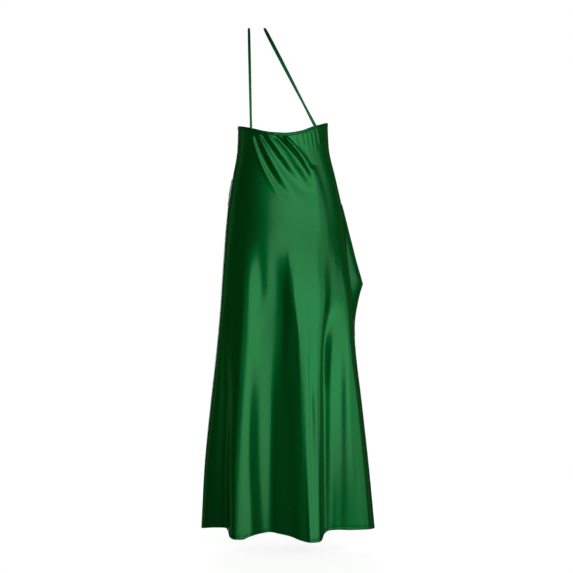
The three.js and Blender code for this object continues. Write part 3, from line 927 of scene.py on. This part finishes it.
def strap_path(strap, turns):
    """The middle of a strap, from the back band over the shoulder to the front one."""
    crown = STRAP_THICKNESS / 2
    points = []
    for t in turns:
        side, end_x = (BACK, strap["back_x"]) if t < 0.5 else (FRONT, strap["front_x"])
        share = (end_x - middle(CHEST)) / half_width(CHEST)
        reach = side.depth(CHEST) * math.sqrt(1 - share**2)
        edge = side.top_at(end_x) - SEAM_GAP
        rise = abs(math.sin(t * math.pi)) ** (2 / STRAP_ARCH)
        spread = abs(math.cos(t * math.pi)) ** (2 / STRAP_ARCH)
        z = -edge + rise * (edge + crown)
        x = strap["crown_x"] + (end_x - strap["crown_x"]) * (crown - z) / (crown + edge)
        points.append((x, side.facing * reach * spread, z))
    return np.array(points, float)


def strap_rings(strap):
    """Sections of a strap, square to its path and flat on the shoulder."""
    turns = np.linspace(0, 1, STRAP_SECTIONS)
    nudge = 0.004
    here = strap_path(strap, turns)
    ahead = strap_path(strap, np.minimum(1, turns + nudge))
    behind = strap_path(strap, np.maximum(0, turns - nudge))
    along = unit(ahead - behind)
    outward = np.column_stack([0 * turns, -along[:, 2], along[:, 1]])
    sideways = unit(np.cross(along, outward))
    up = np.cross(sideways, along)
    corners = rounded_section(STRAP_WIDTH, STRAP_THICKNESS, STRAP_CORNER, 4)
    rings = [here + sideways * across + up * out for across, out in corners]
    return in_frame(np.stack(rings, axis=1))


class DRESS_OT_straps(Operator):
    """Sew the two thin straps that go over the left shoulder"""

    bl_idname = "dress.straps"
    bl_label = "Straps"

    def execute(self, context):
        for strap in STRAPS:
            piece = add_tube(f"{strap['name']}_cloth", strap_rings(strap))
            dress_in(piece, satin_binding)
            finish_cloth(piece, strap["name"])
        return {"FINISHED"}


def stitch_row(name, curve, outward):
    """Short threads along a curve of points, each one sunk at its ends, as one mesh."""
    sizes = bpy.context.scene.dress_sizes
    lengths = arc_lengths(curve[:, None], 0)[:, 0]
    ring_places = column(STITCH_RINGS, "along") * sizes.stitch_length
    ring_radii = column(STITCH_RINGS, "size") * sizes.thread_radius
    ring_rises = column(STITCH_RINGS, "rise") * sizes.thread_radius
    angles = np.arange(STITCH_CORNERS) * 2 * math.pi / STITCH_CORNERS
    vertices, faces = [], []
    for stitch in range(int(lengths[-1] / sizes.stitch_pitch)):
        middle_at = (stitch + 0.5) * sizes.stitch_pitch
        places = middle_at + ring_places
        spine = np.column_stack([np.interp(places, lengths, curve[:, k]) for k in range(3)])
        out = unit(np.array([np.interp(middle_at, lengths, outward[:, k]) for k in range(3)]))
        side = unit(np.cross(unit(spine[-1] - spine[0]), out))
        faces += tube_faces(len(vertices), len(STITCH_RINGS), STITCH_CORNERS)
        for point, radius, rise in zip(spine, ring_radii, ring_rises):
            for angle in angles:
                offset = side * math.cos(angle) + out * math.sin(angle)
                vertices.append(point + out * rise + offset * radius)
    piece = add_mesh(name, vertices, faces, 60)
    dress_in(piece, thread_material)
    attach(piece, ROOT)


def hem_stitches(side, u):
    """The thread along the top of a panel's turned hem."""
    sizes = bpy.context.scene.dress_sizes
    drop = side.hem(u) - sizes.hem_turn / MM * HEM_STITCH
    base = in_frame(side.point(u, drop))
    outward = unit(in_frame(side.point(u, drop, 1.0)) - base)
    curve = base + outward * sizes.hem_swell * HEM_STITCH_SWELL
    stitch_row(f"{side.name}_hem_stitches", curve, outward)


def band_stitches(side, u):
    """The thread near the lower edge of a band."""
    drop = side.top(u) + BAND_HEIGHT - BAND_STITCH
    lift = BAND_FACE + THREAD_SEAT
    curve = in_frame(side.figure(u, drop, lift))
    outward = unit(in_frame(side.figure(u, drop, lift + 1)) - curve)
    stitch_row(f"{side.name}_band_stitches", curve, outward)


def swag_stitches(edge, along):
    """The thread along the swag's upper or lower edge."""
    ways = column(SWAG, "along")
    top, foot = (smooth(ways, column(SWAG, name), along) for name in ("top", "foot"))
    inset = SWAG_STITCH / (foot - top)
    v = inset if edge == "upper" else 1 - inset
    nudge = 0.004
    curve = in_frame(swag_points(along, v))
    beside = in_frame(swag_points(along, v + nudge))
    outward = unit(np.cross(np.gradient(curve, axis=0), beside - curve))
    outward *= np.sign(-outward[:, 1:2])
    stitch_row(f"swag_{edge}_stitches", curve, outward)


class DRESS_OT_stitches(Operator):
    """Run the thread along the hem, the swag's edges and the bands"""

    bl_idname = "dress.stitches"
    bl_label = "Stitches"

    def execute(self, context):
        along_panel = np.linspace(0.004, 0.996, 900)
        for side in (BACK, FRONT):
            hem_stitches(side, along_panel)
            band_stitches(side, along_panel)
        for edge in ("upper", "lower"):
            swag_stitches(edge, np.linspace(0.01, 0.99, 500))
        return {"FINISHED"}


FLOOR_RADIUS = 9.0
FLOOR_FADE = (0.5, 2.2)  # the floor's edge fades between these distances from the dress
SENSOR_WIDTH = 36.0


def add_softbox(heart, name, offset, width, height, energy, colour):
    """A softbox that faces the dress's middle."""
    deselect_all()
    place = heart + Vector(offset)
    turn = (heart - place).to_track_quat("-Z", "Y").to_euler()
    bpy.ops.object.light_add(type="AREA", location=place, rotation=turn)
    light = bpy.context.object
    light.name = name
    light.data.shape = "RECTANGLE"
    light.data.size = width
    light.data.size_y = height
    light.data.energy = energy
    light.data.color = colour


class DRESS_OT_stage(Operator):
    """Set the pale floor, the softboxes and the camera behind the wearer"""

    bl_idname = "dress.stage"
    bl_label = "Stage"

    def execute(self, context):
        stage = context.scene.dress_stage
        axis = -SHOULDER_FROM_AXIS * MM
        low = cad_bounds[0][2]
        deselect_all()
        bpy.ops.mesh.primitive_circle_add(
            vertices=96, radius=FLOOR_RADIUS, fill_type="TRIFAN", location=(0, 0, 0)
        )
        floor = context.object
        floor.name = "floor"
        for vertex in floor.data.vertices:
            vertex.co.x += axis
            vertex.co.z += low - stage.floor_gap
        floor.data.materials.append(floor_material(stage, axis))
        floor.visible_diffuse = False
        floor.visible_glossy = False
        heart = Vector((axis, 0, low / 2))
        white, green = (1, 1, 1), stage.rim_colour
        rim = stage.rim_energy
        for softbox in table("name offset width height energy colour", [
            ("key_softbox", (-0.7, 4.1, 0.27), 4.4, 4.1, stage.key_energy, white),
            ("side_softbox", (-3.5, 2.1, 0.15), 3.0, 3.6, stage.side_energy, white),
            ("front_softbox", (0.5, -3.9, 0.3), 2.6, 3.9, stage.front_energy, white),
            ("left_rim_softbox", (3.7, -1.2, 0), 1.5, 3.6, rim, green),
            ("right_rim_softbox", (-3.2, -2.3, 0), 1.4, 3.6, rim / 2, green),
        ]):
            add_softbox(heart, **softbox)
        set_room(stage)
        context.scene.view_settings.view_transform = "Standard"
        deselect_all()
        bpy.ops.object.camera_add(
            location=(axis, stage.camera_distance, -stage.camera_drop),
            rotation=(math.pi / 2, 0, math.pi),
        )
        camera = context.object
        camera.name = "camera"
        camera.data.sensor_width = SENSOR_WIDTH
        camera.data.lens = SENSOR_WIDTH / 2 * stage.camera_distance / stage.half_view
        context.scene.camera = camera
        return {"FINISHED"}


def floor_material(stage, axis):
    """A pale floor that fades into the background away from the dress."""
    material, nodes, links, shader = new_material("pale_floor")
    shader.inputs["Base Color"].default_value = (*stage.ground, 1)
    shader.inputs["Roughness"].default_value = 0.9
    shader.inputs["Emission Color"].default_value = (*stage.ground, 1)
    shader.inputs["Emission Strength"].default_value = stage.floor_glow
    place = nodes.new("ShaderNodeTexCoord")
    centred = nodes.new("ShaderNodeMapping")
    centred.inputs["Location"].default_value = (-axis, 0, 0)
    flat = nodes.new("ShaderNodeVectorMath")
    flat.operation = "MULTIPLY"
    flat.inputs[1].default_value = (1, 1, 0)
    away = nodes.new("ShaderNodeVectorMath")
    away.operation = "LENGTH"
    fade = nodes.new("ShaderNodeMapRange")
    fade.interpolation_type = "SMOOTHSTEP"
    fade.inputs["From Min"].default_value = FLOOR_FADE[0]
    fade.inputs["From Max"].default_value = FLOOR_FADE[1]
    fade.inputs["To Min"].default_value = 1
    fade.inputs["To Max"].default_value = 0
    links.new(place.outputs["Object"], centred.inputs["Vector"])
    links.new(centred.outputs["Vector"], flat.inputs[0])
    links.new(flat.outputs["Vector"], away.inputs[0])
    links.new(away.outputs["Value"], fade.inputs["Value"])
    links.new(fade.outputs["Result"], shader.inputs["Alpha"])
    return material


def set_room(stage):
    """An even dim room that the camera sees as a pale background."""
    world = bpy.data.worlds.new("room")
    bpy.context.scene.world = world
    world.use_nodes = True
    nodes, links = world.node_tree.nodes, world.node_tree.links
    background = next(node for node in nodes if node.type == "BACKGROUND")
    output = next(node for node in nodes if node.type == "OUTPUT_WORLD")
    background.inputs["Color"].default_value = (1, 1, 1, 1)
    background.inputs["Strength"].default_value = stage.world_light
    seen = nodes.new("ShaderNodeBackground")
    seen.inputs["Color"].default_value = (*stage.ground, 1)
    seen.inputs["Strength"].default_value = 1
    ray = nodes.new("ShaderNodeLightPath")
    choose = nodes.new("ShaderNodeMixShader")
    links.new(ray.outputs["Is Camera Ray"], choose.inputs[0])
    links.new(background.outputs[0], choose.inputs[1])
    links.new(seen.outputs[0], choose.inputs[2])
    links.new(choose.outputs[0], output.inputs["Surface"])


class DRESS_PT_sidebar(Panel):
    bl_label = "Dress"
    bl_idname = "DRESS_PT_sidebar"
    bl_space_type = "VIEW_3D"
    bl_region_type = "UI"
    bl_category = "Dress"

    def draw(self, context):
        scene = context.scene
        for group in (scene.dress_sizes, scene.dress_colours, scene.dress_stage):
            box = self.layout.box()
            for name in group.__annotations__:
                box.prop(group, name)
        for step in STEPS:
            self.layout.operator(step.bl_idname)


STEPS = (
    DRESS_OT_panels,
    DRESS_OT_hip_drape,
    DRESS_OT_bands,
    DRESS_OT_straps,
    DRESS_OT_stitches,
    DRESS_OT_stage,
)
CLASSES = (DressSizes, DressColours, StageSettings, *STEPS, DRESS_PT_sidebar)


def register():
    for each in CLASSES:
        bpy.utils.register_class(each)
    bpy.types.Scene.dress_sizes = PointerProperty(type=DressSizes)
    bpy.types.Scene.dress_colours = PointerProperty(type=DressColours)
    bpy.types.Scene.dress_stage = PointerProperty(type=StageSettings)


def unregister():
    del bpy.types.Scene.dress_stage
    del bpy.types.Scene.dress_colours
    del bpy.types.Scene.dress_sizes
    for each in reversed(CLASSES):
        bpy.utils.unregister_class(each)


def main():
    register()
    for step in STEPS:
        group, name = step.bl_idname.split(".")
        getattr(getattr(bpy.ops, group), name)()


if __name__ == "__main__":
    main()
